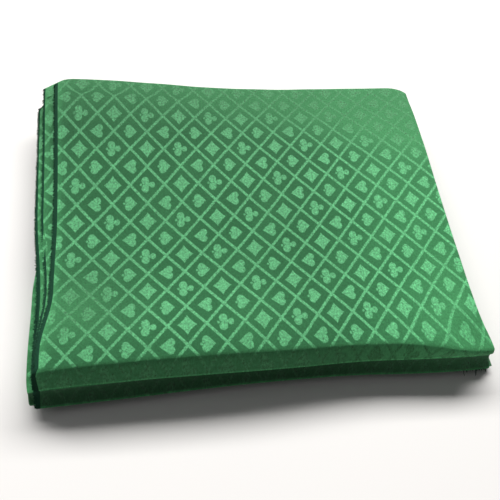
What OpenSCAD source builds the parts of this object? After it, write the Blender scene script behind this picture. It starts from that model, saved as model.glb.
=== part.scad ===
// A 3.2 m length of playing-table cloth, folded for storage.
//
// The cloth is folded in half twice across its width, so every leaf of the pile is four plies
// that turn back on themselves at the right and show two selvedges and one fold at the left.
// Along its length it is folded in half once and then five times back and forth, which gives
// five packs of two leaves. Neighbouring packs are joined by a crease of eight nested plies,
// at the rear and at the front in turn, and each crease is a hinge along X.
//
// Origin: centre of the base on the table. +X along the creases, +Y to the rear, +Z up.

/* [Cloth] */
// Thickness of one ply of cloth
ply_t = 0.5; // [0.3:0.05:0.6]
// Height that one ply takes up in the pile
ply_pitch = 0.95; // [0.8:0.05:1.2]
// Width of the pile, a quarter of the width of the cloth
pack_w = 381; // [280:1:420]

/* [Folding] */
// Depth of the two upper packs, from the rear fold to the front fold
upper_d = 318; // [240:1:340]
// How far the lower front fold stands forward of the upper one
step_d = 8; // [0:1:20]
// How far the cut ends stand forward of the lower front fold
cut_d = 2; // [0:0.5:10]

/* [Edges] */
// Width of the selvedge with its fringe
selvedge_w = 3; // [1:0.5:6]
// Length of the frayed threads at the cut ends
fray_d = 3; // [1:0.5:8]

/* [Hidden] */
$fn = 64;
PLIES = 4;
GAP = ply_pitch - ply_t;
LEAF_T = PLIES * ply_pitch;
PACK_T = 2 * LEAF_T;
HINGE_DROP = GAP / 2;
// Room between a crease and the leaves that it joins
LEAD = 0.3;

// Outer radius of a crease between two packs, and of the fold in the top pack
CREASE_R = PACK_T - HINGE_DROP;
HALF_FOLD_R = LEAF_T - HINGE_DROP;

// The pile from left to right
TOTAL_W = pack_w + selvedge_w;
LEFT_X = -TOTAL_W / 2 + selvedge_w;
RIGHT_X = LEFT_X + pack_w;

// The pile from rear to front
UPPER_SPAN = upper_d - 2 * CREASE_R;
TOTAL_D = CREASE_R + UPPER_SPAN + step_d + CREASE_R + cut_d + fray_d;
REAR_Y = TOTAL_D / 2 - CREASE_R;
UPPER_FRONT_Y = REAR_Y - UPPER_SPAN;
LOWER_FRONT_Y = UPPER_FRONT_Y - step_d;
CUT_Y = LOWER_FRONT_Y - CREASE_R - cut_d;
HALF_FOLD_Y = REAR_Y + CREASE_R - HALF_FOLD_R;

CLOTH = "seagreen";
EDGE = "darkgreen";

// Leaves are counted from 0 at the bottom; leaves 2n and 2n + 1 make pack n.
function pack_of(leaf) = floor(leaf / 2);
function leaf_z(leaf) = leaf * LEAF_T;
function hinge_z(pack) = (pack + 1) * PACK_T - HINGE_DROP;
function front_y(pack) =
    pack == 0 ? CUT_Y :
    pack <= 2 ? LOWER_FRONT_Y + LEAD :
    UPPER_FRONT_Y + LEAD;
function rear_y(pack) = pack == 4 ? HALF_FOLD_Y - LEAD : REAR_Y - LEAD;

// Half of a ring that bulges towards +x, from the inner radius r to r + ply_t
module half_ring(r) {
    intersection() {
        difference() {
            circle(r = r + ply_t);
            circle(r = r);
        }
        translate([0, -r - 2 * ply_t])
            square([r + 2 * ply_t, 2 * r + 4 * ply_t]);
    }
}

// Section of a leaf across its plies: a doubled turn at the right, a single one at the left
module leaf_section() {
    right_c = RIGHT_X - HINGE_DROP - ply_pitch - ply_t;
    left_c = LEFT_X + HINGE_DROP + ply_t;
    mid = 2 * ply_pitch - HINGE_DROP;
    for (k = [0:PLIES - 1]) {
        x0 = k < 2 ? left_c : LEFT_X;
        translate([x0, k * ply_pitch])
            square([right_c - x0, ply_t]);
    }
    translate([right_c, mid]) {
        half_ring(HINGE_DROP);
        half_ring(HINGE_DROP + ply_pitch);
    }
    translate([left_c, ply_pitch - HINGE_DROP])
        mirror([1, 0])
            half_ring(HINGE_DROP);
}

// A leaf lies with its selvedges on top in the upper place of a pack, and upside down below
module leaf_pose(leaf) {
    translate([0, 0, leaf_z(leaf)])
        if (leaf % 2 == 1)
            children();
        else
            translate([0, 0, LEAF_T - GAP])
                mirror([0, 0, 1])
                    children();
}

module leaf_panel(leaf) {
    pack = pack_of(leaf);
    color(CLOTH)
        leaf_pose(leaf)
            translate([0, rear_y(pack), 0])
                rotate([90, 0, 0])
                    linear_extrude(rear_y(pack) - front_y(pack))
                        leaf_section();
}

// The two open edges of a leaf, one strip for each of its upper plies
module selvedges(leaf) {
    pack = pack_of(leaf);
    color(EDGE)
        leaf_pose(leaf)
            for (k = [2:3])
                translate([LEFT_X - selvedge_w, front_y(pack), k * ply_pitch])
                    cube([selvedge_w, rear_y(pack) - front_y(pack), ply_t]);
}

// Threads at the open end of a leaf of the base pack
module cut_end(leaf) {
    color(EDGE)
        leaf_pose(leaf)
            for (k = [0:PLIES - 1])
                translate([LEFT_X + selvedge_w, CUT_Y - fray_d, k * ply_pitch])
                    cube([pack_w - 2 * selvedge_w, fray_d, ply_t]);
}

// Four nested plies that turn from one leaf to another; side is 1 at the rear, -1 at the front
module crease(y, z, side, first) {
    color(CLOTH)
        translate([LEFT_X, y, z])
            mirror([0, side > 0 ? 0 : 1, 0])
                rotate([90, 0, 90])
                    linear_extrude(pack_w)
                        for (k = [first:first + PLIES - 1])
                            half_ring(HINGE_DROP + k * ply_pitch);
}

module base_lower_leaf() leaf_panel(0);
module base_upper_leaf() leaf_panel(1);
module second_lower_leaf() leaf_panel(2);
module second_upper_leaf() leaf_panel(3);
module third_lower_leaf() leaf_panel(4);
module third_upper_leaf() leaf_panel(5);
module fourth_lower_leaf() leaf_panel(6);
module fourth_upper_leaf() leaf_panel(7);
module top_lower_leaf() leaf_panel(8);
module top_upper_leaf() leaf_panel(9);

module rear_lower_crease_inner() crease(REAR_Y, hinge_z(0), 1, 0);
module rear_lower_crease_outer() crease(REAR_Y, hinge_z(0), 1, PLIES);
module front_lower_crease_inner() crease(LOWER_FRONT_Y, hinge_z(1), -1, 0);
module front_lower_crease_outer() crease(LOWER_FRONT_Y, hinge_z(1), -1, PLIES);
module rear_upper_crease_inner() crease(REAR_Y, hinge_z(2), 1, 0);
module rear_upper_crease_outer() crease(REAR_Y, hinge_z(2), 1, PLIES);
module front_upper_crease_inner() crease(UPPER_FRONT_Y, hinge_z(3), -1, 0);
module front_upper_crease_outer() crease(UPPER_FRONT_Y, hinge_z(3), -1, PLIES);
module half_fold() crease(HALF_FOLD_Y, 4 * PACK_T + LEAF_T - HINGE_DROP, 1, 0);

module base_lower_selvedges() selvedges(0);
module base_upper_selvedges() selvedges(1);
module second_lower_selvedges() selvedges(2);
module second_upper_selvedges() selvedges(3);
module third_lower_selvedges() selvedges(4);
module third_upper_selvedges() selvedges(5);
module fourth_lower_selvedges() selvedges(6);
module fourth_upper_selvedges() selvedges(7);
module top_lower_selvedges() selvedges(8);
module top_upper_selvedges() selvedges(9);

module base_lower_cut_end() cut_end(0);
module base_upper_cut_end() cut_end(1);

base_lower_leaf();
base_upper_leaf();
second_lower_leaf();
second_upper_leaf();
third_lower_leaf();
third_upper_leaf();
fourth_lower_leaf();
fourth_upper_leaf();
top_lower_leaf();
top_upper_leaf();
rear_lower_crease_inner();
rear_lower_crease_outer();
front_lower_crease_inner();
front_lower_crease_outer();
rear_upper_crease_inner();
rear_upper_crease_outer();
front_upper_crease_inner();
front_upper_crease_outer();
half_fold();
base_lower_selvedges();
base_upper_selvedges();
second_lower_selvedges();
second_upper_selvedges();
third_lower_selvedges();
third_upper_selvedges();
fourth_lower_selvedges();
fourth_upper_selvedges();
top_lower_selvedges();
top_upper_selvedges();
base_lower_cut_end();
base_upper_cut_end();
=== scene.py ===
"""Looks of a folded length of suited playing-table cloth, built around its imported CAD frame.

The cloth is one strip of four plies, nested across its width, that runs back and forth along
its length. Each piece is a grid on that strip: a section across the plies swept along a path.
Units are metres. A leaf is one layer of four plies, and two leaves make a pack.
"""

import math

import bpy
import numpy as np
from mathutils import Matrix, Vector


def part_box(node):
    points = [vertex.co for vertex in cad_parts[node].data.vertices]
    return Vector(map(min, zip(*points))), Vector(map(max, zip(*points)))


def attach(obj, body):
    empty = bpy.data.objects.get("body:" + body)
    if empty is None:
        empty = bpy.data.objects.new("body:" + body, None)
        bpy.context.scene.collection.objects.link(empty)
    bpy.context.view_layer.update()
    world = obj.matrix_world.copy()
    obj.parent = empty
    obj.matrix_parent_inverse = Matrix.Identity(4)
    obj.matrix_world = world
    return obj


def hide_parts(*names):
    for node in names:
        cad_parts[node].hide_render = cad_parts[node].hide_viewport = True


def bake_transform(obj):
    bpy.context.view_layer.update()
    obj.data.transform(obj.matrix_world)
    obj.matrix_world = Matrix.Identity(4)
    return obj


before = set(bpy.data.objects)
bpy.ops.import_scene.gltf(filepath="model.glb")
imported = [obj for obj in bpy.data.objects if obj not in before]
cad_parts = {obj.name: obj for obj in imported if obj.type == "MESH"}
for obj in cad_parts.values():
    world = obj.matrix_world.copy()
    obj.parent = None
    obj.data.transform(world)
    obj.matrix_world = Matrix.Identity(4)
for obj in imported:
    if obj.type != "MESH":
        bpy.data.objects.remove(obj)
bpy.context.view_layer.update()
MM = 0.001

# ---------------------------------------------------------------- camera
# Place in metres and angles in degrees, found by matching the lattice of the weave to the photo
CAMERA_PLACE = (-0.1110, -0.3091, 0.5114)
CAMERA_AZIMUTH = 20.25
CAMERA_ELEVATION = 59.14
CAMERA_ROLL = 14.03
FOCAL_LENGTH = 42.23
SENSOR_WIDTH = 36.0


def make_camera():
    data = bpy.data.cameras.new("camera")
    data.lens = FOCAL_LENGTH
    data.sensor_width = SENSOR_WIDTH
    camera = bpy.data.objects.new("camera", data)
    azimuth = Matrix.Rotation(math.radians(-CAMERA_AZIMUTH), 4, "Z")
    tilt = Matrix.Rotation(math.radians(90.0 - CAMERA_ELEVATION), 4, "X")
    roll = Matrix.Rotation(math.radians(CAMERA_ROLL), 4, "Z")
    camera.matrix_world = Matrix.Translation(CAMERA_PLACE) @ azimuth @ tilt @ roll
    bpy.context.scene.collection.objects.link(camera)
    bpy.context.scene.camera = camera


make_camera()

# ---------------------------------------------------------------- sizes from the frame
PACKS = ("base", "second", "third", "fourth", "top")
CREASES = ("rear_lower", "front_lower", "rear_upper", "front_upper")
LEAVES = [f"{pack}_{half}_leaf" for pack in PACKS for half in ("lower", "upper")]

leaf_low, leaf_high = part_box("top_upper_leaf")
LEFT = leaf_low.x
RIGHT = leaf_high.x
LEAF_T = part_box("top_upper_leaf")[0].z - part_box("top_lower_leaf")[0].z
PITCH = LEAF_T / 4
PLY_T = leaf_high.z - leaf_low.z - 3 * PITCH
GAP = PITCH - PLY_T
HALF_GAP = GAP / 2
PACK_T = 2 * LEAF_T
HEIGHT = 5 * PACK_T - GAP
CREASE_R = PACK_T - HALF_GAP
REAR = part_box("rear_lower_crease_outer")[0].y
FRONT = {1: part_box("front_lower_crease_outer")[1].y, 3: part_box("front_upper_crease_outer")[1].y}
HALF_FOLD_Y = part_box("half_fold")[0].y
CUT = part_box("base_upper_leaf")[0].y
SELVEDGE_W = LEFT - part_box("top_upper_selvedges")[0].x
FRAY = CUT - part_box("base_upper_cut_end")[0].y

# How far a crease piece runs on into the flat cloth on each side
EXTEND_OUTER = 14 * MM
EXTEND_INNER = 2.8 * MM

# Grid spacing across the strip, on the outside plies and on the plies that nothing shows
FINE = 4.5 * MM
COARSE = 15 * MM
# and along it, on the leaves and beside the creases
STEP_Y = 5 * MM
LEAD_STEP = 3 * MM
# Grid steps round a turn across the strip, and round the creases
SECTION_TURNS = 8
OUTER_TURNS = 18
INNER_TURNS = 10
# Two coordinates closer than this are the same
ROUNDING = 0.001 * MM
# Width of the dark woven border along the cloth's two edges, on ply 3 and on ply 2
SELVEDGE_BAND = {3: 3.2 * MM, 2: 1.2 * MM}

# Width of the cloth as it is woven
PLY_HEIGHTS = [k * PITCH + PLY_T / 2 for k in range(4)]


def smooth(t):
    t = np.clip(t, 0.0, 1.0)
    return t * t * (3 - 2 * t)


def ramp(value, zone):
    """0 before the first end of a zone, 1 past its second end; a zone may run down."""
    start, end = zone
    return smooth((value - start) / (end - start))


def spaced(start, end, step):
    """Even places from start to end, about a step apart."""
    count = max(1, int(round(abs(end - start) / step)))
    return np.linspace(start, end, count + 1)


# ---------------------------------------------------------------- section across the plies
def section(fine_plies):
    """Centreline of the four plies from the selvedge of ply 3 to the selvedge of ply 2.

    Gives across, x, height, the face's normal (x, height) and the ply. The face side of the
    cloth is up on ply 3, down on ply 0, up on ply 1 and down on ply 2.
    """
    right_c = RIGHT - (1.5 * PITCH + PLY_T / 2)
    left_c = LEFT + 0.5 * PITCH + PLY_T / 2
    mid = 1.5 * PITCH + PLY_T / 2
    rows = []

    def run(x0, x1, ply, facing):
        step = FINE if ply in fine_plies else COARSE
        places = spaced(x0, x1, step)
        if ply >= 2:
            places = np.sort(np.append(places, LEFT + SELVEDGE_BAND[ply]))
            places = places if x1 > x0 else places[::-1]
        for x in places:
            rows.append((x, PLY_HEIGHTS[ply], 0.0, facing, ply))

    def turn(cx, ch, radius, start, end, facing, ply0, ply1):
        for k in range(1, SECTION_TURNS):
            share = k / SECTION_TURNS
            angle = math.radians(start + (end - start) * share)
            c, s = math.cos(angle), math.sin(angle)
            ply = ply0 + (ply1 - ply0) * share
            rows.append((cx + radius * c, ch + radius * s, facing * c, facing * s, ply))

    run(LEFT, right_c, 3, 1.0)
    turn(right_c, mid, 1.5 * PITCH, 90, -90, 1.0, 3, 0)
    run(right_c, left_c, 0, -1.0)
    turn(left_c, mid - PITCH, 0.5 * PITCH, 270, 90, 1.0, 0, 1)
    run(left_c, right_c, 1, 1.0)
    turn(right_c, mid, 0.5 * PITCH, -90, 90, -1.0, 1, 2)
    run(right_c, LEFT, 2, -1.0)
    x, height, nx, nh, ply = (np.array(column) for column in zip(*rows))
    across = np.concatenate([[0.0], np.cumsum(np.hypot(np.diff(x), np.diff(height)))])
    return {"across": across, "x": x, "h": height, "nx": nx, "nh": nh, "ply": ply}


# ---------------------------------------------------------------- paths along the cloth
def flat_path(y0, y1, z0, way):
    """A flat stretch: height above z0 is measured upwards if way is 1, downwards if it is -1."""
    y = spaced(y0, y1, STEP_Y)
    one = np.ones_like(y)
    return {"y": y, "z": z0 * one, "dy": 0 * one, "dz": way * one}


def crease_path(y, z, side, radius, way, extend, turns=OUTER_TURNS):
    """Round a crease from the lower flat to the upper one; side is 1 at the rear."""
    angles = np.radians(np.linspace(-90, 90, turns + 1))
    lead = np.linspace(-extend, 0, max(2, int(extend / LEAD_STEP)) + 1)[:-1]
    bend = y + side * radius * np.cos(angles)
    ys = np.concatenate([y + side * lead, bend, y + side * lead[::-1]])
    zs = np.concatenate([z - radius + 0 * lead, z + radius * np.sin(angles), z + radius + 0 * lead])
    dy = np.concatenate([0 * lead, way * side * np.cos(angles), 0 * lead])
    dz = np.concatenate([-way + 0 * lead, way * np.sin(angles), way + 0 * lead])
    return {"y": ys, "z": zs, "dy": dy, "dz": dz}


def hinge(crease):
    """(y, z, side) of the crease between pack number crease and the next."""
    side = 1 if crease % 2 == 0 else -1
    y = REAR if side > 0 else FRONT[crease]
    return y, (crease + 1) * PACK_T - HALF_GAP, side


def leaf_end(leaf, at_rear):
    """Where a leaf's flat stretch stops at its rear or front, short of the crease piece."""
    pack, upper = divmod(leaf, 2)
    if at_rear and pack == 4:
        return HALF_FOLD_Y - EXTEND_OUTER
    if not at_rear and pack == 0:
        return CUT
    crease = pack if (pack % 2 == 0) == at_rear else pack - 1
    outer = (upper == 0) == (pack == crease)
    y, _, side = hinge(crease)
    return y - side * (EXTEND_OUTER if outer else EXTEND_INNER)


def leaf_path(leaf):
    way = 1 if leaf % 2 else -1
    z0 = leaf * LEAF_T + (0 if leaf % 2 else LEAF_T - GAP)
    return flat_path(leaf_end(leaf, True), leaf_end(leaf, False), z0, way)


def crease_piece_path(crease, outer):
    y, z, side = hinge(crease)
    if outer:
        return crease_path(y, z, side, HALF_GAP + LEAF_T, 1, EXTEND_OUTER)
    return crease_path(y, z, side, HALF_GAP + LEAF_T - GAP, -1, EXTEND_INNER, INNER_TURNS)


def half_fold_path():
    z = 4 * PACK_T + LEAF_T - HALF_GAP
    return crease_path(HALF_FOLD_Y, z, 1, HALF_GAP, 1, EXTEND_OUTER)


def reverse(path):
    return {k: v[::-1] for k, v in path.items()}


def chain():
    """Every stretch in the order in which the cloth runs, with its distance along the cloth."""
    order = []
    for pack in range(4):
        order.append((f"leaf{2 * pack + pack % 2}", leaf_path(2 * pack + pack % 2), pack % 2 == 0))
        order.append((f"crease{pack}_{'inner' if pack % 2 else 'outer'}",
                      crease_piece_path(pack, pack % 2 == 0), None))
    order.append(("leaf8", leaf_path(8), True))
    order.append(("half_fold", half_fold_path(), None))
    order.append(("leaf9", leaf_path(9), False))
    for pack in range(3, -1, -1):
        order.append((f"crease{pack}_{'outer' if pack % 2 else 'inner'}",
                      reverse(crease_piece_path(pack, pack % 2 == 1)), None))
        leaf = 2 * pack + 1 - pack % 2
        order.append((f"leaf{leaf}", leaf_path(leaf), pack % 2 == 1))
    made, start = {}, 0.0
    for name, path, rearwards in order:
        if rearwards is True:
            path = reverse(path)
        ys = path["y"] + path["dy"] * PLY_HEIGHTS[3]
        zs = path["z"] + path["dz"] * PLY_HEIGHTS[3]
        along = start + np.concatenate([[0.0], np.cumsum(np.hypot(np.diff(ys), np.diff(zs)))])
        start = along[-1]
        made[name] = dict(path, along=along)
    return made


def middle_length(path):
    """Length of a stretch, measured along the middle of its plies."""
    steps = (np.diff(path[k] + path[f"d{k}"] * LEAF_T / 2) for k in ("y", "z"))
    return np.hypot(*steps).sum()


STRETCHES = chain()
TOP_START = STRETCHES["leaf9"]["along"][0]

# ---------------------------------------------------------------- how the pile has settled
# Swells and hollows of the top: (height, x, y, spread in x, spread in y)
SWELLS = (
    (11.0 * MM, -0.185, 0.160, 0.120, 0.070),
    (8.5 * MM, -0.070, -0.135, 0.150, 0.045),
    (8.0 * MM, 0.180, 0.040, 0.110, 0.130),
    (-4.5 * MM, -0.150, -0.030, 0.110, 0.070),
    (2.0 * MM, 0.148, -0.137, 0.024, 0.011),
    (1.6 * MM, 0.176, -0.118, 0.012, 0.018),
)
# Each pinched crease: how far its tip is out and up from its hinge line, how straight its sides
# are, and how hollow its upper side is (1 is straight)
TIPS = {
    0: (9.5 * MM, -2.5 * MM, 0.55, 1.0),
    1: (11.0 * MM, -6.8 * MM, 0.90, 2.0),
    2: (9.5 * MM, -2.5 * MM, 0.55, 1.0),
    3: (12.0 * MM, -4.8 * MM, 0.85, 1.0),
}
# Angle of the tips round their hinge lines, in degrees above level
TIP_ANGLE = -10
# The left edge of the top rolls down by this much over this width. Layers that stick out past
# the edge carry on down, until they are as far past it as the limit allows
EDGE_ROLL = 2.6 * MM
ROLL_WIDTH = 13 * MM
ROLL_LIMIT = 1.6
# Small waves of the top: height, number, spread of their radians per metre, seed
RIPPLE = 0.35 * MM
RIPPLE_WAVES = 7
RIPPLE_RATE = 38
RIPPLE_SEED = 3
# No point of the settled pile lies above this
TOP_LIMIT = HEIGHT + 10.5 * MM
# Powers of the height by which swells, roll and waves die away in the layers below
SWELL_FALL = 5
ROLL_FALL = 4
RIPPLE_FALL = 2

# Zones over which one thing passes into another, from 0 at the first end to 1 at the second
FRONT_ZONE = (-0.090, -0.150)
REAR_ZONE = (REAR - 0.060, REAR)
LEFT_ZONE = (LEFT + 0.090, LEFT)
RIGHT_ZONE = (RIGHT - 0.080, RIGHT)
LEFT_FRONT_ZONE = (-0.070, -0.130)
LEFT_REAR_ZONE = (-0.070, 0.015)
# Plies this close to a hinge line keep their place, so that opened leaves don't meet
HINGE_ZONE = (1.5 * MM, 1.5 * MM + LEAF_T)
# Leaves below UPPER_LEAF lie in the three lower packs, and below BASE_LIMIT in the base pack
UPPER_LEAF = 6
BASE_LIMIT = 1.5

# Rounded rear corners: radius, how much of a quarter circle they draw in, and how much of that at
# the bottom. An arc below 1 stops short of turning square to the edge
CORNER_R = 22 * MM
CORNER_SHARE = 0.55
CORNER_BOTTOM = 0.55
CORNER_ARC = 0.96
# The rear edge runs askew, by this much along Y for each unit along X
SKEW = 0.034
# Creases wander along X: how far, metres for each radian, and radians from crease to crease
CREASE_WANDER = 1.3 * MM
CREASE_WAVE = 0.055
CREASE_PHASE = 2.1
# Left edges wander along Y: how far, radians for each metre, and radians for each leaf and ply
LEFT_WANDER = 1.0 * MM
LEFT_WAVE = 12
LEFT_PHASES = (2.3, 1.9)
# Right-hand folds lie out of line: how far, and radians for each leaf
RIGHT_WANDER = 1.2 * MM
RIGHT_PHASE = 1.7
# How far the right half of the front leans out: everywhere, and besides at the top
FRONT_LEAN = (4.5 * MM, 5 * MM)
LEAN_ZONE = (0.050, 0.190)
# Where the left edges lie at the front, in the middle and at the rear, from the ideal place
TOP_EDGE = (-14.0 * MM, -5.0 * MM, -3.0 * MM)
SECOND_EDGE = (-15.5 * MM, -9.0 * MM, -14.5 * MM)
TOP_FOLD = (-15.0 * MM, -8.0 * MM, -11.0 * MM)
SELVEDGES = (-16.5 * MM, -15.5 * MM, -19.5 * MM)
UPPER_FOLDS = (-15.5 * MM, -11.0 * MM, -12.0 * MM)
LOWER_FOLDS = (-23.2 * MM, -21.5 * MM, -12.0 * MM)
# At the very rear the lower layers are tucked in
TUCK_ZONE = (0.156, 0.140)
# The front right corner spreads by this much for the full depth of the pile, but no further
# below this share of the depth
CORNER_SPREAD = 18 * MM
SPREAD_LIMIT = 0.8
SPREAD_ZONE = (-0.070, -0.160)
# The rear right corner spreads by this much at the top
REAR_SPREAD = 6 * MM
REAR_SPREAD_ZONE = (-0.020, 0.150)
# The front right corner's top droops: to the right, forward and down
CORNER_DROOP = (6 * MM, 8 * MM, 5 * MM)
DROOP_X_ZONE = (0.105, 0.180)
DROOP_Y_ZONE = (-0.118, -0.145)
DROOP_PLIES = (LEAF_T, LEAF_T + 1.5 * PITCH)
# The cut ends lie back under the pile by this much, and stand out at the right by this much
CUT_BACK = 12 * MM
CUT_BACK_ZONE = (0.160, 0.100)
CUT_OUT = 5 * MM
CUT_OUT_ZONE = (0.140, 0.180)


def hill(x, y, cx, cy, sx, sy):
    """A rounded hill of height 1."""
    return np.exp(-((x - cx) / sx) ** 2 - ((y - cy) / sy) ** 2)


def relief(x, y, swells=SWELLS):
    """The swells' heights together."""
    return sum(height * hill(x, y, *shape) for height, *shape in swells)


def ripple(x, y):
    """Small waves, a few centimetres long, of height about 1."""
    rng = np.random.default_rng(RIPPLE_SEED)
    total = 0.0
    for _ in range(RIPPLE_WAVES):
        kx, ky = rng.normal(0, RIPPLE_RATE, 2)
        total = total + np.sin(kx * x + ky * y + rng.uniform(0, 2 * math.pi))
    return total / 3.0


def leaf_number(along):
    """Which leaf a distance along the cloth lies on, as a smooth number."""
    names = [n for n in STRETCHES if n.startswith("leaf")]
    ends = [sorted((STRETCHES[n]["along"][0], STRETCHES[n]["along"][-1])) for n in names]
    return np.interp(along, np.ravel(ends), np.repeat([float(n[4:]) for n in names], 2))


def crease_angle(crease, y, z):
    """Outward reach, rise and angle of points round a crease's hinge line; 90 degrees is up."""
    hy, hz, side = hinge(crease)
    reach, rise = side * (y - hy), z - hz
    inside = (np.abs(rise) < CREASE_R + HALF_GAP) & (reach > 0)
    return reach, rise, np.degrees(np.arctan2(rise, reach)), inside


def wad(y, z):
    """Outward and upward shift that turns the round creases into pinched, drooping ones."""
    out, up = np.zeros_like(y), np.zeros_like(y)
    for crease, (tip_out, tip_up, pinch, hollow) in TIPS.items():
        reach, rise, angle, inside = crease_angle(crease, y, z)
        side = hinge(crease)[2]
        share = np.clip((90 - angle) / (90 - TIP_ANGLE), 0, 1)
        under = smooth((TIP_ANGLE - angle) / (90 + TIP_ANGLE))
        straight_out = tip_out * share ** hollow * (1 - under)
        straight_up = CREASE_R + (tip_up - CREASE_R) * share - (CREASE_R + tip_up) * under
        scale = pinch * np.hypot(reach, rise) / CREASE_R
        out = np.where(inside, side * (scale * straight_out - pinch * reach), out)
        up = np.where(inside, scale * straight_up - pinch * rise, up)
    return out, up


def from_three(y, values):
    """Blends a front, a middle and a rear value along the left side."""
    front, middle, rear = values
    to_front = ramp(y, LEFT_FRONT_ZONE)
    to_rear = ramp(y, LEFT_REAR_ZONE)
    return front * to_front + rear * to_rear + middle * (1 - to_front - to_rear)


def outside(y, z, creases):
    """0 on the inner plies at the nearest of some hinges, 1 on the outer plies."""
    gaps = []
    for crease in creases:
        reach, rise, _, _ = crease_angle(crease, y, z)
        gaps.append(np.hypot(np.maximum(reach, 0), rise))
    return ramp(np.min(gaps, axis=0), HINGE_ZONE)


def left_shift(ply, number, y):
    """How far the left edge of a ply lies from its ideal place."""
    # 1 on the topmost leaf, and from a third of the way round the half fold
    in_top = np.clip(3 * (number - 8), 0, 1)
    fold = smooth(2 - ply)
    second = smooth(3 - ply)
    selvedges = from_three(y, TOP_EDGE) * (1 - second) + from_three(y, SECOND_EDGE) * second
    top = selvedges * (1 - fold) + from_three(y, TOP_FOLD) * fold
    low = np.clip(UPPER_LEAF - number, 0, 1)
    folds = from_three(y, LOWER_FOLDS) * low + from_three(y, UPPER_FOLDS) * (1 - low)
    below = from_three(y, SELVEDGES) * (1 - fold) + folds * fold
    phase = LEFT_PHASES[0] * number + LEFT_PHASES[1] * ply
    below = below + LEFT_WANDER * np.sin(phase + LEFT_WAVE * y)
    below = below * ramp(y, TUCK_ZONE)
    return top * in_top + below * (1 - in_top)


def right_spread(y, level):
    """How far the right-hand folds spread at the front corner and at the rear one."""
    low = CORNER_SPREAD * np.minimum(1 - level, SPREAD_LIMIT) * ramp(y, SPREAD_ZONE)
    return low + REAR_SPREAD * level * ramp(y, REAR_SPREAD_ZONE)


def rounding(x, level):
    """How far the rear edge draws in towards its corners."""
    corner = np.clip((np.abs(x) - (RIGHT - CORNER_R)) / CORNER_R, 0, 1)
    arc = 1 - np.sqrt(1 - CORNER_ARC * corner ** 2)
    return CORNER_R * CORNER_SHARE * arc * (CORNER_BOTTOM + (1 - CORNER_BOTTOM) * level)


def corner_droop(x, y, z):
    """1 where the shoulder of the top droops over its tip at the right-hand front corner."""
    reach, rise, _, _ = crease_angle(3, y, z)
    outer = ramp(np.hypot(np.maximum(reach, 0), rise), DROOP_PLIES)
    upper = np.clip(rise / CREASE_R, 0, 1)
    return outer * upper * ramp(y, DROOP_Y_ZONE) * ramp(x, DROOP_X_ZONE)


def settle(points, ply, along):
    """Moves points of the ideal pile to where they lie in the settled one."""
    x, y, z = points.T
    level = np.minimum(z / HEIGHT, 1)
    out, up = wad(y, z)
    number = leaf_number(along)
    front = ramp(y, FRONT_ZONE)
    rear = ramp(y, REAR_ZONE)
    # the left edges are not in line, nor are the right-hand folds
    dx = ramp(x, LEFT_ZONE) * left_shift(ply, number, y)
    spread = RIGHT_WANDER * np.sin(RIGHT_PHASE * number) + right_spread(y, level)
    dx = dx + ramp(x, RIGHT_ZONE) * spread
    dy = out - rear * rounding(x, level)
    # creases wander a little along X, each in its own way
    height_in_pairs = z / (2 * PACK_T)
    front_wave = np.sin(x / CREASE_WAVE + CREASE_PHASE * np.floor(height_in_pairs + 0.5))
    rear_wave = np.sin(x / CREASE_WAVE + CREASE_PHASE * np.floor(height_in_pairs))
    front = front * outside(y, z, (1, 3))
    rear = rear * outside(y, z, (0, 2))
    dy = dy + CREASE_WANDER * (front * front_wave + rear * rear_wave)
    # the pile is not quite square, but the plies next to a hinge keep clear of it
    in_base = number < BASE_LIMIT
    lean = (FRONT_LEAN[0] + FRONT_LEAN[1] * level) * ramp(x, LEAN_ZONE)
    dy = dy - rear * SKEW * x - front * lean * (~in_base)
    droop = corner_droop(x, y, z)
    dx = dx + CORNER_DROOP[0] * droop
    dy = dy - CORNER_DROOP[1] * droop
    # the cut ends lie back under the pile at the left and stand out at the right
    cut = CUT_BACK * ramp(x, CUT_BACK_ZONE) - CUT_OUT * ramp(x, CUT_OUT_ZONE)
    dy = dy + front * in_base * cut
    # the swells of the top, which die away below
    dz = up - CORNER_DROOP[2] * droop + level ** SWELL_FALL * relief(x, y)
    dz = dz + RIPPLE * ripple(x, y) * level ** RIPPLE_FALL
    from_edge = x + dx - LEFT - from_three(y, TOP_EDGE)
    roll = np.clip(1 - from_edge / ROLL_WIDTH, 0, ROLL_LIMIT)
    dz = dz - EDGE_ROLL * roll ** 2 * level ** ROLL_FALL
    return np.stack([x + dx, y + dy, np.clip(z + dz, 0.0, TOP_LIMIT)], 1)


# ---------------------------------------------------------------- materials
# Cells of the lattice, across and along the cloth, and where the pattern starts on the top
CELL_U = 33.2 * MM
CELL_V = 38.9 * MM
PATTERN_U = 39.5 * MM
PATTERN_V = 30.3 * MM
# Cells that the pattern drifts across the cloth for each cell along it
PATTERN_SKEW = 0.061
# Where the weave is drawn to the rear (or to the front, below 0), in the form of the swells
PULLS = (
    (-5.0 * MM, -0.070, -0.008, 0.140, 0.068),
    (4.9 * MM, -0.160, 0.120, 0.110, 0.070),
    (1.8 * MM, 0.120, -0.120, 0.080, 0.045),
)
# In cells of the lattice: the lines, the suits' scale and the softness of their edges
LINE_HALF_WIDTH = 0.050
SUIT_SIZE = 0.89
EDGE_SOFTNESS = 0.018
# The suits, with their tops to +x. Discs are (x, y, radius) and are mirrored in y; a wedge is
# (tip, slope, back)
DIAMOND_R = 0.285
DIAMOND_BEND = 0.86
CLUB_DISCS = ((-0.070, 0.115, 0.122), (0.155, 0.0, 0.090), (0.040, 0.0, 0.060), (-0.215, 0.0, 0.036))
SPADE_DISCS = ((-0.045, 0.095, 0.118), (-0.185, 0.0, 0.036))
SPADE_WEDGE = (0.225, 1.08, 0.02)
HEART_DISCS = ((-0.085, 0.100, 0.112),)
HEART_WEDGE = (0.235, 1.33, -0.02)


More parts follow.
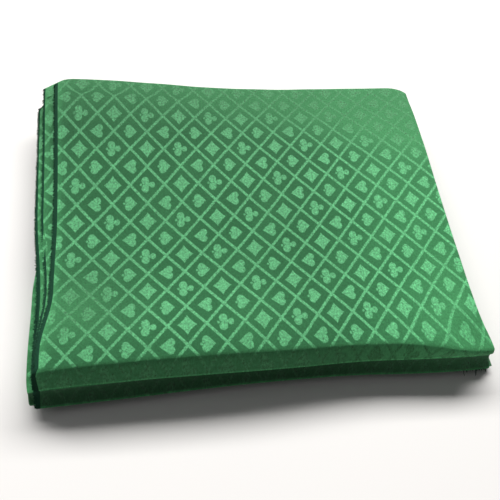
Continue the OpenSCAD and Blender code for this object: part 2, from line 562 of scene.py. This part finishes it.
class Graph:
    """Short calls for building a node tree."""

    def __init__(self, material):
        material.use_nodes = True
        self.tree = material.node_tree
        self.shader = self.tree.nodes["Principled BSDF"]

    def node(self, kind, **settings):
        made = self.tree.nodes.new(kind)
        for key, value in settings.items():
            setattr(made, key, value)
        return made

    def link(self, source, target):
        if isinstance(source, (int, float)):
            target.default_value = source
        else:
            self.tree.links.new(source, target)

    def math(self, operation, *values):
        made = self.node("ShaderNodeMath", operation=operation)
        for k, value in enumerate(values):
            self.link(value, made.inputs[k])
        return made.outputs[0]

    def mix(self, share, a, b, clamp=True):
        made = self.node("ShaderNodeMix", data_type="RGBA", clamp_factor=clamp)
        self.link(share, made.inputs[0])
        for value, target in ((a, made.inputs[6]), (b, made.inputs[7])):
            if isinstance(value, tuple):
                target.default_value = (*value, 1.0)
            else:
                self.link(value, target)
        return made.outputs[2]

    def noise(self, vector, scale, detail=3.0, roughness=0.6):
        made = self.node("ShaderNodeTexNoise")
        self.link(vector, made.inputs["Vector"])
        made.inputs["Scale"].default_value = scale
        made.inputs["Detail"].default_value = detail
        made.inputs["Roughness"].default_value = roughness
        return made.outputs["Fac"]

    def bump(self, height, strength, distance):
        made = self.node("ShaderNodeBump")
        made.inputs["Strength"].default_value = strength
        made.inputs["Distance"].default_value = distance
        self.link(height, made.inputs["Height"])
        self.link(made.outputs[0], self.shader.inputs["Normal"])

    def inside(self, distance, soft):
        """1 where distance is below zero, with an edge soft wide."""
        made = self.node("ShaderNodeMapRange", interpolation_type="SMOOTHSTEP")
        self.link(distance, made.inputs["Value"])
        made.inputs["From Min"].default_value = -soft
        made.inputs["From Max"].default_value = soft
        made.inputs["To Min"].default_value = 1.0
        made.inputs["To Max"].default_value = 0.0
        return made.outputs["Result"]


def circle(g, x, y, cx, cy, r):
    """Distance outside a circle, mirrored in y."""
    dx = g.math("SUBTRACT", x, cx)
    dy = g.math("SUBTRACT", y, cy)
    squared = g.math("ADD", g.math("MULTIPLY", dx, dx), g.math("MULTIPLY", dy, dy))
    return g.math("SUBTRACT", g.math("SQRT", squared), r)


def union(g, *distances):
    total = distances[0]
    for d in distances[1:]:
        total = g.math("MINIMUM", total, d)
    return total


def wedge(g, x, y, tip, slope, back):
    """A triangle with its tip at x = tip, cut off at x = back, mirrored in y."""
    side = g.math("ADD", g.math("SUBTRACT", x, tip), g.math("MULTIPLY", y, slope))
    return g.math("MAXIMUM", side, g.math("SUBTRACT", back, x))


def discs(g, x, y, shapes):
    """Distances outside each of some circles."""
    return [circle(g, x, y, *shape) for shape in shapes]


def suit_shapes(g, x, y):
    """Distances outside the diamond, club, spade and heart; their tops point to +x."""
    y = g.math("ABSOLUTE", y)
    bent_x = g.math("POWER", g.math("ABSOLUTE", x), DIAMOND_BEND)
    bent_y = g.math("POWER", y, DIAMOND_BEND)
    diamond = g.math("SUBTRACT", g.math("ADD", bent_x, bent_y), DIAMOND_R ** DIAMOND_BEND)
    club = union(g, *discs(g, x, y, CLUB_DISCS))
    spade = union(g, *discs(g, x, y, SPADE_DISCS), wedge(g, x, y, *SPADE_WEDGE))
    flipped = g.math("MULTIPLY", x, -1.0)
    heart = union(g, *discs(g, flipped, y, HEART_DISCS), wedge(g, flipped, y, *HEART_WEDGE))
    return diamond, club, spade, heart


def pattern(g, u, v):
    """1 on the light figure of the weave, 0 on its ground."""
    across = g.math("ADD", u, v)
    back = g.math("SUBTRACT", u, v)
    lines = []
    for value in (across, back):
        off = g.math("ABSOLUTE", g.math("SUBTRACT", value, g.math("ROUND", value)))
        lines.append(g.math("SUBTRACT", off, LINE_HALF_WIDTH))
    lattice = union(g, *lines)
    # suits centred on (i + 1/2, j)
    iu, jv = g.math("FLOOR", u), g.math("ROUND", v)
    x1 = g.math("SUBTRACT", g.math("SUBTRACT", u, iu), 0.5)
    y1 = g.math("SUBTRACT", v, jv)
    diamond, club, _, _ = suit_shapes(g, *(g.math("DIVIDE", k, SUIT_SIZE) for k in (x1, y1)))
    odd1 = g.math("ABSOLUTE", g.math("MODULO", g.math("ADD", iu, jv), 2.0))
    # and suits centred on (i, j + 1/2)
    iu2, jv2 = g.math("ROUND", u), g.math("FLOOR", v)
    x2 = g.math("SUBTRACT", u, iu2)
    y2 = g.math("SUBTRACT", g.math("SUBTRACT", v, jv2), 0.5)
    _, _, spade, heart = suit_shapes(g, *(g.math("DIVIDE", k, SUIT_SIZE) for k in (x2, y2)))
    odd2 = g.math("ABSOLUTE", g.math("MODULO", g.math("ADD", iu2, jv2), 2.0))

    def choose(share, a, b):
        made = g.node("ShaderNodeMix", data_type="FLOAT")
        g.link(share, made.inputs[0])
        g.link(a, made.inputs[2])
        g.link(b, made.inputs[3])
        return made.outputs[0]

    first = choose(odd1, diamond, club)
    second = choose(odd2, heart, spade)
    nearer = g.math("ADD", g.math("ABSOLUTE", x1), g.math("ABSOLUTE", y1))
    in_first = g.math("LESS_THAN", nearer, 0.5)
    suits = choose(in_first, second, first)
    return g.inside(union(g, lattice, suits), EDGE_SOFTNESS)


FIGURE = (0.090, 0.380, 0.160)
GROUND = (0.020, 0.128, 0.044)
# Painted sheen: the light tone that the weave washes out to where sheen is painted
SHEEN_TONE = (0.052, 0.252, 0.092)
EDGE = (0.006, 0.040, 0.020)
EDGE_LIGHT = (0.0132, 0.088, 0.044)
FLOOR_DARK = (0.86, 0.845, 0.84)
FLOOR_LIGHT = (0.90, 0.885, 0.875)

# Noise scales are in waves for each cell of the lattice, and the jag is in cells
JAG_SCALE = 30.0
JAG_SIZE = 0.055
GRAIN_SCALE = 18.0
CLOUD_SCALE = 0.55
# Contrast of the weave where the cloud is darkest, and how much the cloud adds
CLOUD_CONTRAST = (0.62, 0.70)
# How far the grain changes the brightness, on the ground and besides on the figure
GRAIN_DEPTH = (1.4, 1.8)
# Ribs of the twill: radians for each cell, and their slant
RIB_RATE = 250.0
RIB_SLANT = 1.16
# Heights of the ribs, the grain and the figure in the bump, before BUMP_DISTANCE
RIB_HEIGHT = 0.22
GRAIN_HEIGHT = 0.90
FIGURE_HEIGHT = 0.35
BUMP_DISTANCE = 0.6 * MM
# Roughness of the ground, and how much smoother the figure is
ROUGHNESS = 0.86
FIGURE_SHINE = 0.16
# Waves for each metre, on the dark threads and on the floor
THREAD_NOISE = 900.0
FLOOR_NOISE = 3.0


def cloth_material():
    material = bpy.data.materials.new("suited_jacquard")
    g = Graph(material)
    weave = g.node("ShaderNodeAttribute", attribute_name="weave")
    parts = g.node("ShaderNodeSeparateXYZ")
    g.link(weave.outputs["Vector"], parts.inputs[0])
    # the third part is the contrast left by the painted sheen
    u, v, sheen_fade = parts.outputs
    plane = g.node("ShaderNodeCombineXYZ")
    g.link(u, plane.inputs[0])
    g.link(v, plane.inputs[1])
    strip = plane.outputs[0]
    # thread by thread the edges of the figure wander a little
    jag = g.math("MULTIPLY", g.math("SUBTRACT", g.noise(strip, JAG_SCALE, 2.0), 0.5), JAG_SIZE)
    figure = pattern(g, g.math("ADD", u, jag), g.math("ADD", v, jag))
    grain = g.noise(strip, GRAIN_SCALE, 3.0, 0.8)
    cloud = g.noise(strip, CLOUD_SCALE, 2.0)
    clouded = g.math("ADD", CLOUD_CONTRAST[0], g.math("MULTIPLY", cloud, CLOUD_CONTRAST[1]))
    contrast = g.math("MINIMUM", g.math("MULTIPLY", sheen_fade, clouded), 1.0)
    plain = g.mix(figure, GROUND, FIGURE)
    # painted sheen: the weave's contrast washes the colour towards the sheen tone, and a contrast
    # below 0 turns the weave round, light ground and dark figure
    colour = g.mix(contrast, SHEEN_TONE, plain, clamp=False)
    depth = g.math("ADD", GRAIN_DEPTH[0], g.math("MULTIPLY", figure, GRAIN_DEPTH[1]))
    coarse = g.math("MULTIPLY", g.math("SUBTRACT", grain, 0.5), depth)
    # painted light and shade: the colour is scaled by the painted light attribute
    painted_light = g.node("ShaderNodeAttribute", attribute_name="painted_light").outputs["Fac"]
    shade = g.node("ShaderNodeVectorMath", operation="SCALE")
    g.link(colour, shade.inputs[0])
    g.link(g.math("MULTIPLY", painted_light, g.math("ADD", 1.0, coarse)), shade.inputs["Scale"])
    g.link(shade.outputs[0], g.shader.inputs["Base Color"])
    # twill ribs on the ground, smoother satin on the figure
    slant = g.math("ADD", u, g.math("MULTIPLY", v, RIB_SLANT))
    ribs = g.math("SINE", g.math("MULTIPLY", slant, RIB_RATE))
    heights = g.math("ADD", g.math("MULTIPLY", ribs, RIB_HEIGHT), g.math("MULTIPLY", grain, GRAIN_HEIGHT))
    heights = g.math("ADD", heights, g.math("MULTIPLY", figure, FIGURE_HEIGHT))
    g.bump(heights, 0.35, BUMP_DISTANCE)
    rough = g.math("SUBTRACT", ROUGHNESS, g.math("MULTIPLY", figure, FIGURE_SHINE))
    g.link(rough, g.shader.inputs["Roughness"])
    g.shader.inputs["Specular IOR Level"].default_value = 0.3
    g.shader.inputs["Sheen Weight"].default_value = 0.25
    g.shader.inputs["Sheen Roughness"].default_value = 0.45
    g.shader.inputs["Sheen Tint"].default_value = (0.45, 0.9, 0.6, 1.0)
    return material


def edge_material():
    material = bpy.data.materials.new("selvedge_threads")
    g = Graph(material)
    where = g.node("ShaderNodeTexCoord").outputs["Object"]
    tone = g.noise(where, THREAD_NOISE, 3.0)
    g.link(g.mix(g.math("POWER", tone, 2.0), EDGE, EDGE_LIGHT), g.shader.inputs["Base Color"])
    g.bump(tone, 0.5, 0.4 * MM)
    g.shader.inputs["Roughness"].default_value = 0.95
    g.shader.inputs["Specular IOR Level"].default_value = 0.2
    return material


CLOTH = cloth_material()
THREADS = edge_material()


# Painted sheen: where the weave shows less, towards the rear, on a bump, along the left edge, at the
# front right corner and at the right side; each with how much contrast the painted sheen takes away
SHEEN_REAR = 0.90
SHEEN_REAR_ZONE = (0.080, 0.165)
SHEEN_REAR_SLOPES = (0.10, 0.22)
SHEEN_BUMP = 0.75
SHEEN_BUMP_SHAPE = (-0.163, -0.090, 0.032, 0.034)
SHEEN_RIM = 0.35
RIM_ZONE = (LEFT + 0.012, LEFT + 0.002)
SHEEN_CORNER = 0.20
SHEEN_CORNER_ZONE = (0.060, 0.180)
SHEEN_SIDE = 0.28
SHEEN_SIDE_ZONE = (0.070, 0.170)
LEAST_FADE = 0.06
# Painted sheen: on the front fold the weave is nearly plain, and turned round at the right of
# the upper one
TURN_ZONE = (FRONT[3] + 0.002, FRONT[3] - 0.002)
FRONT_FADE = 0.05
TURNED_FADE = 0.40
TURNED_ZONE = (0.0, 0.10)
# Height between the lower front fold and the upper one
BETWEEN_FRONTS = 3 * PACK_T


def sheen_contrast_at(points):
    """Contrast of the weave under painted sheen: 1 where none is painted, below 0 where it is turned
    round.
    """
    x, y, z = points.T
    behind = y + SHEEN_REAR_SLOPES[0] * x + SHEEN_REAR_SLOPES[1] * np.maximum(x, 0)
    sheen_loss = SHEEN_REAR * ramp(behind, SHEEN_REAR_ZONE)
    sheen_loss = sheen_loss + SHEEN_BUMP * hill(x, y, *SHEEN_BUMP_SHAPE) + SHEEN_RIM * ramp(x, RIM_ZONE)
    sheen_loss = sheen_loss + SHEEN_CORNER * ramp(x, SHEEN_CORNER_ZONE) * ramp(y, FRONT_ZONE)
    sheen_loss = sheen_loss + SHEEN_SIDE * ramp(x, SHEEN_SIDE_ZONE)
    sheen_fade = np.clip(1 - sheen_loss, LEAST_FADE, 1)
    front = ramp(y, TURN_ZONE)
    turned = FRONT_FADE - TURNED_FADE * ramp(x, TURNED_ZONE) * (z > BETWEEN_FRONTS)
    return sheen_fade * (1 - front) + turned * front


# Painted light and shade: how much brighter (or darker, below 0) the cloth is painted at the right,
# along the left edge, at the rear, at the rear left besides, and in the hollow at the front left
BRIGHT_RIGHT = 0.46
BRIGHT_RIGHT_ZONE = (0.020, 0.170)
# The painted light on the right side ends towards the rear
BRIGHT_END = 0.75
BRIGHT_END_ZONE = (-0.020, 0.120)
BRIGHT_RIM = 0.25
BRIGHT_REAR = -0.10
BRIGHT_REAR_ZONE = (0.050, 0.150)
BRIGHT_REAR_LEFT = -0.06
REAR_LEFT_ZONE = (0.050, -0.100)
BRIGHT_HOLLOW = -0.20
HOLLOW_SHAPE = (-0.155, -0.085, 0.035, 0.040)
# Painted shade on the lower front fold, under the upper one, and painted highlights on the tips of
# the front creases
LOW_FOLD_SHADE = 0.62
TIP_HIGHLIGHT = 0.9
TIP_HIGHLIGHT_SPREAD = 5


def painted_light_at(points):
    """Painted light and shade: how bright the cloth is painted at each place."""
    x, y, z = points.T
    right = ramp(x, BRIGHT_RIGHT_ZONE) * (1 - BRIGHT_END * ramp(y, BRIGHT_END_ZONE))
    rear = BRIGHT_REAR + BRIGHT_REAR_LEFT * ramp(x, REAR_LEFT_ZONE)
    bright = 1 + BRIGHT_RIGHT * right + BRIGHT_RIM * ramp(x, RIM_ZONE)
    bright = bright + rear * ramp(y, BRIGHT_REAR_ZONE) + BRIGHT_HOLLOW * hill(x, y, *HOLLOW_SHAPE)
    # painted shade on the lower front fold
    bright = bright * (1 - LOW_FOLD_SHADE * (y < FRONT[1]) * (z < BETWEEN_FRONTS))
    # painted highlights along the tips of the front creases
    for crease in FRONT:
        _, _, angle, inside = crease_angle(crease, y, z)
        bright = bright + TIP_HIGHLIGHT * inside * np.exp(-((angle - TIP_ANGLE) / TIP_HIGHLIGHT_SPREAD) ** 2)
    return bright


# ---------------------------------------------------------------- meshes
class Mesh:
    """Vertices, faces, strip coordinates and material numbers of one piece."""

    def __init__(self):
        self.points, self.ply, self.along, self.across = [], [], [], []
        self.faces, self.kinds = [], []
        self.count = 0

    def add(self, points, ply, along, across, faces, kinds):
        self.points.append(points)
        self.ply.append(np.broadcast_to(ply, len(points)))
        self.along.append(np.broadcast_to(along, len(points)))
        self.across.append(np.broadcast_to(across, len(points)))
        self.faces.extend((np.asarray(f) + self.count).tolist() for f in faces)
        self.kinds.extend(kinds)
        self.count += len(points)


def place(cross, path, offset):
    """Grid points of the strip, shifted offset towards the face side, and the face normals."""
    x = cross["x"] + offset * cross["nx"]
    h = cross["h"] + offset * cross["nh"]
    one = np.ones(len(path["y"]))
    return np.stack([x[:, None] * one, path["y"] + np.outer(h, path["dy"]),
                     path["z"] + np.outer(h, path["dz"])], -1)


def shell(mesh, cross, path):
    """The cloth itself: both faces and all four edges of the strip."""
    ni, nj = len(cross["x"]), len(path["y"])
    face = place(cross, path, PLY_T / 2)
    back = place(cross, path, -PLY_T / 2)
    points = np.concatenate([face.reshape(-1, 3), back.reshape(-1, 3)])
    i, j = np.meshgrid(np.arange(ni - 1), np.arange(nj - 1), indexing="ij")
    a = (i * nj + j).ravel()
    quads = np.stack([a, a + 1, a + nj + 1, a + nj], 1)
    half = ni * nj
    band = np.where(cross["ply"] > 2.5, SELVEDGE_BAND[3], SELVEDGE_BAND[2])
    dark = (cross["ply"] >= 2) & (cross["x"] < LEFT + band - ROUNDING)
    kind = (dark[:-1] | dark[1:])[i.ravel()].astype(int)
    rim = []
    rim_kind = []

    def wall(p, q, outer, number):
        rim.append((p, q, q + half, p + half) if outer else (q, p, p + half, q + half))
        rim_kind.append(number)

    for row, outer in ((0, True), (ni - 1, False)):
        for k in range(nj - 1):
            wall(row * nj + k, row * nj + k + 1, outer, 1)
    for column, outer in ((0, False), (nj - 1, True)):
        for k in range(ni - 1):
            wall(k * nj + column, (k + 1) * nj + column, outer, 0)
    rim = np.array(rim)
    # faces that would point into the cloth are turned over
    normal = np.cross(face[1, 0] - face[0, 0], face[0, 1] - face[0, 0])
    if np.dot(normal, face[0, 0] - back[0, 0]) > 0:
        quads = quads[:, ::-1]
        rim = rim[:, ::-1]
    faces = list(quads) + list(quads[:, ::-1] + half) + list(rim)
    ply = np.tile(np.repeat(cross["ply"], nj), 2)
    along = np.tile(np.tile(path["along"], ni), 2)
    across = np.tile(np.repeat(cross["across"], nj), 2)
    mesh.add(points, ply, along, across, faces, list(kind) * 2 + rim_kind)


def path_at(path, along):
    """The path's values at distances along the cloth."""
    order = np.argsort(path["along"])
    s = path["along"][order]
    return {k: np.interp(along, s, path[k][order]) for k in ("y", "z", "dy", "dz")}


# Threads: how far apart along the selvedges and along the cut ends, and how much they stray
THREAD_PITCH = 0.85 * MM
STRAY = 0.3
CUT_PITCH = 1.3 * MM
CUT_STRAY = 0.5 * MM
# Thickness, length as a share of the CAD strips, and how far inside the cloth they start
SELVEDGE_THREAD = 0.68 * MM
SELVEDGE_REACH = 0.95
SELVEDGE_ROOT = 0.6 * MM
CUT_THREAD = 0.55 * MM
CUT_REACH = 1.1
CUT_ROOT = 0.8 * MM
# Each tuft: rings as (share of its length, share of its thickness), and its flatness
TUFT_RINGS = ((-0.25, 1.0), (0.35, 0.85), (0.75, 0.55), (1.0, 0.1))
TUFT_SIDES = 3
TUFT_FLATNESS = 0.55
# Ranges of the tufts' lengths and thicknesses, and (middle, spread) of their lean and lift
TUFT_LENGTHS = (0.45, 1.0)
TUFT_GIRTHS = (0.7, 1.3)
TUFT_LEAN = (0.0, 0.32)
TUFT_LIFT = (-0.05, 0.28)
# Seeds of the random draws
LEAF_SEED = 100
CUT_SEED = 200
CREASE_SEED = 300
HALF_FOLD_SEED = 400


def threads(mesh, roots, outward, sideways, normal, length, width, rng, ply, along):
    """Tapered tufts of thread, one at each root."""
    n = len(roots)
    sides = TUFT_SIDES
    size = sides * len(TUFT_RINGS)
    reach = length * rng.uniform(*TUFT_LENGTHS, n)[:, None]
    lean = rng.normal(*TUFT_LEAN, n)[:, None]
    lift = rng.normal(*TUFT_LIFT, n)[:, None]
    girth = width * rng.uniform(*TUFT_GIRTHS, n)[:, None]
    rings = []
    for share, thin in TUFT_RINGS:
        bent = reach * share * abs(share) * (lean * sideways + lift * normal)
        centre = roots + reach * share * outward + bent
        for k in range(sides):
            angle = math.radians(360 * k / sides)
            c, s = math.cos(angle), math.sin(angle)
            rings.append(centre + girth * thin * (c * sideways + TUFT_FLATNESS * s * normal))
    points = np.stack(rings, 1).reshape(-1, 3)
    faces = []
    for base in range(0, size * n, size):
        for ring in range(base, base + size - sides, sides):
            for k in range(sides):
                p = ring + k
                q = ring + (k + 1) % sides
                faces.append((p, q, q + sides))
                faces.append((p, q + sides, p + sides))
        faces.append(tuple(range(base + sides - 1, base - 1, -1)))
        faces.append(tuple(range(base + size - sides, base + size)))
    mesh.add(points, ply, np.repeat(along, size), 0.0, faces, [1] * len(faces))


def fringe(mesh, path, seed):
    """Selvedge threads along both open edges, plies 3 and 2."""
    rng = np.random.default_rng(seed)
    low, high = sorted((path["along"][0], path["along"][-1]))
    for ply in (3, 2):
        along = np.arange(low + THREAD_PITCH / 2, high, THREAD_PITCH)
        along = along + rng.uniform(-STRAY, STRAY, len(along)) * THREAD_PITCH
        at = path_at(path, along)
        h = PLY_HEIGHTS[ply]
        x = np.full(len(along), LEFT + SELVEDGE_ROOT)
        roots = np.stack([x, at["y"] + h * at["dy"], at["z"] + h * at["dz"]], 1)
        normal = np.stack([np.zeros(len(along)), at["dy"], at["dz"]], 1)
        outward = np.array([-1.0, 0.0, 0.0]) * np.ones_like(normal)
        sideways = np.cross(outward, normal)
        threads(mesh, roots, outward, sideways, normal, SELVEDGE_W * SELVEDGE_REACH,
                SELVEDGE_THREAD, rng, ply, along)


def frayed(mesh, path, seed):
    """Loose threads along the cut end of a leaf of the base pack."""
    rng = np.random.default_rng(seed)
    end = -1 if path["y"][-1] < path["y"][0] else 0
    along = path["along"][end]
    for ply in range(4):
        x = np.arange(LEFT + SELVEDGE_W, RIGHT - SELVEDGE_W, CUT_PITCH)
        x = x + rng.uniform(-CUT_STRAY, CUT_STRAY, len(x))
        z = path["z"][end] + PLY_HEIGHTS[ply] * path["dz"][end]
        one = np.ones(len(x))
        roots = np.stack([x, (CUT + CUT_ROOT) * one, z * one], 1)
        outward = np.array([0.0, -1.0, 0.0]) * np.ones_like(roots)
        sideways = np.array([1.0, 0.0, 0.0]) * np.ones_like(roots)
        normal = np.array([0.0, 0.0, 1.0]) * np.ones_like(roots)
        threads(mesh, roots, outward, sideways, normal, FRAY * CUT_REACH, CUT_THREAD, rng,
                ply, along * one)


# Edges sharper than this, in degrees, are shaded as edges
SHARP_ANGLE = 55
# Above this ply number a point is on the outermost ply
OUTERMOST = 2.99


def finish_piece(name, mesh, node, motion):
    """Makes the object, sets how it moves from its ideal place, then settles it."""
    points = np.concatenate(mesh.points)
    ply = np.concatenate(mesh.ply)
    along = np.concatenate(mesh.along)
    across = np.concatenate(mesh.across)
    data = bpy.data.meshes.new(name)
    data.from_pydata(points.tolist(), [], mesh.faces)
    obj = bpy.data.objects.new(name, data)
    bpy.context.scene.collection.objects.link(obj)
    data.materials.append(CLOTH)
    data.materials.append(THREADS)
    data.polygons.foreach_set("material_index", mesh.kinds)
    data.polygons.foreach_set("use_smooth", [True] * len(data.polygons))
    motion(obj)
    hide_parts(node)
    moved = settle(points, ply, along)
    data.vertices.foreach_set("co", moved.ravel())
    data.set_sharp_from_angle(angle=math.radians(SHARP_ANGLE))
    pull = relief(points[:, 0], points[:, 1], PULLS) * (along > TOP_START)
    v = (along + pull - TOP_START - PATTERN_V) / CELL_V
    # the pattern keeps its place where the top ply runs on to the left
    slide = np.where((ply > OUTERMOST) & (points[:, 0] < 0), moved[:, 0] - points[:, 0], 0)
    u = (across + slide - PATTERN_U) / CELL_U + PATTERN_SKEW * v
    # the weave's third part is the painted sheen's contrast
    weave = np.stack([u, v, sheen_contrast_at(points)], 1)
    layer = data.attributes.new("weave", "FLOAT_VECTOR", "POINT")
    layer.data.foreach_set("vector", weave.ravel())
    # painted light and shade, which scale the cloth's colour
    layer = data.attributes.new("painted_light", "FLOAT", "POINT")
    layer.data.foreach_set("value", painted_light_at(points))
    data.update()
    return obj


def rider(body):
    return lambda obj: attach(obj, body)


def bender(crease):
    """Bakes a crease piece's placing into its mesh, the same at the rear and at the front."""
    y, z, side = hinge(crease)
    if side > 0:
        return lambda obj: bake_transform(obj)
    return lambda obj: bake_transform(obj)


# ---------------------------------------------------------------- the pieces
def fine_plies(leaf):
    """The plies of a leaf that show from outside the pile."""
    return {9: (3, 2), 0: (3,)}.get(leaf, ())


def make_leaves():
    for leaf, node in enumerate(LEAVES):
        pack = PACKS[leaf // 2]
        stem = node[:-len("_leaf")]
        path = STRETCHES[f"leaf{leaf}"]
        cloth = Mesh()
        shell(cloth, section(fine_plies(leaf)), path)
        ride = rider(f"{pack}_pack")
        piece = finish_piece(f"{stem}_cloth", cloth, node, ride)
        edge = Mesh()
        fringe(edge, path, LEAF_SEED + leaf)
        edge_piece = finish_piece(f"{stem}_fringe", edge, f"{stem}_selvedges", ride)
        if pack == "base":
            cut = Mesh()
            frayed(cut, path, CUT_SEED + leaf)
            finish_piece(f"{stem}_frayed_end", cut, f"{stem}_cut_end",
                                       ride)


def make_creases():
    for crease, stem in enumerate(CREASES):
        for kind in ("inner", "outer"):
            path = STRETCHES[f"crease{crease}_{kind}"]
            cloth = Mesh()
            shell(cloth, section((3, 0) if kind == "outer" else ()), path)
            fringe(cloth, path, CREASE_SEED + 2 * crease + (kind == "outer"))
            piece = finish_piece(f"{stem}_{kind}_fold", cloth, f"{stem}_crease_{kind}",
                                 bender(crease))
            middle_length(path)


def make_half_fold():
    path = STRETCHES["half_fold"]
    cloth = Mesh()
    shell(cloth, section((3,)), path)
    fringe(cloth, path, HALF_FOLD_SEED)
    piece = finish_piece("half_fold_cloth", cloth, "half_fold", rider("top_pack"))
    middle_length(path)


make_leaves()
make_creases()
make_half_fold()


# ---------------------------------------------------------------- floor and light
FLOOR_REACH = 30.0
# The key light is a long soft strip high behind the pile; the other is small and near the left
KEY_PLACE = (0.5, 5.2, 4.8)
KEY_SIZE = (11.0, 2.0)
KEY_POWER = 1080.0
KEY_COLOUR = (1.0, 0.99, 0.97)
LEFT_PLACE = (-1.3, 0.2, 0.9)
LEFT_SIZE = (0.8, 0.8)
LEFT_POWER = 1.5
WORLD_STRENGTH = 0.08


def make_floor():
    mesh = bpy.data.meshes.new("floor")
    r = FLOOR_REACH
    mesh.from_pydata([(-r, -r, 0), (r, -r, 0), (r, r, 0), (-r, r, 0)], [], [(0, 1, 2, 3)])
    floor = bpy.data.objects.new("floor", mesh)
    bpy.context.scene.collection.objects.link(floor)
    material = bpy.data.materials.new("pale_floor")
    g = Graph(material)
    where = g.node("ShaderNodeTexCoord").outputs["Object"]
    tone = g.noise(where, FLOOR_NOISE, 2.0)
    g.link(g.mix(tone, FLOOR_DARK, FLOOR_LIGHT), g.shader.inputs["Base Color"])
    g.shader.inputs["Roughness"].default_value = 0.6
    mesh.materials.append(material)


def area_light(name, place, size, power, colour=(1.0, 1.0, 1.0)):
    """A rectangle of light that faces the origin."""
    data = bpy.data.lights.new(name, "AREA")
    data.shape = "RECTANGLE"
    data.size, data.size_y = size
    data.energy = power
    data.color = colour
    light = bpy.data.objects.new(name, data)
    light.location = place
    light.rotation_mode = "QUATERNION"
    light.rotation_quaternion = Vector(place).to_track_quat("Z", "Y")
    bpy.context.scene.collection.objects.link(light)


def make_light():
    area_light("key", KEY_PLACE, KEY_SIZE, KEY_POWER, KEY_COLOUR)
    area_light("left", LEFT_PLACE, LEFT_SIZE, LEFT_POWER)
    world = bpy.data.worlds.new("world")
    world.use_nodes = True
    back = world.node_tree.nodes["Background"]
    back.inputs["Color"].default_value = (1.0, 1.0, 1.0, 1.0)
    back.inputs["Strength"].default_value = WORLD_STRENGTH
    bpy.context.scene.world = world
    bpy.context.scene.view_settings.view_transform = "Standard"


make_floor()
make_light()
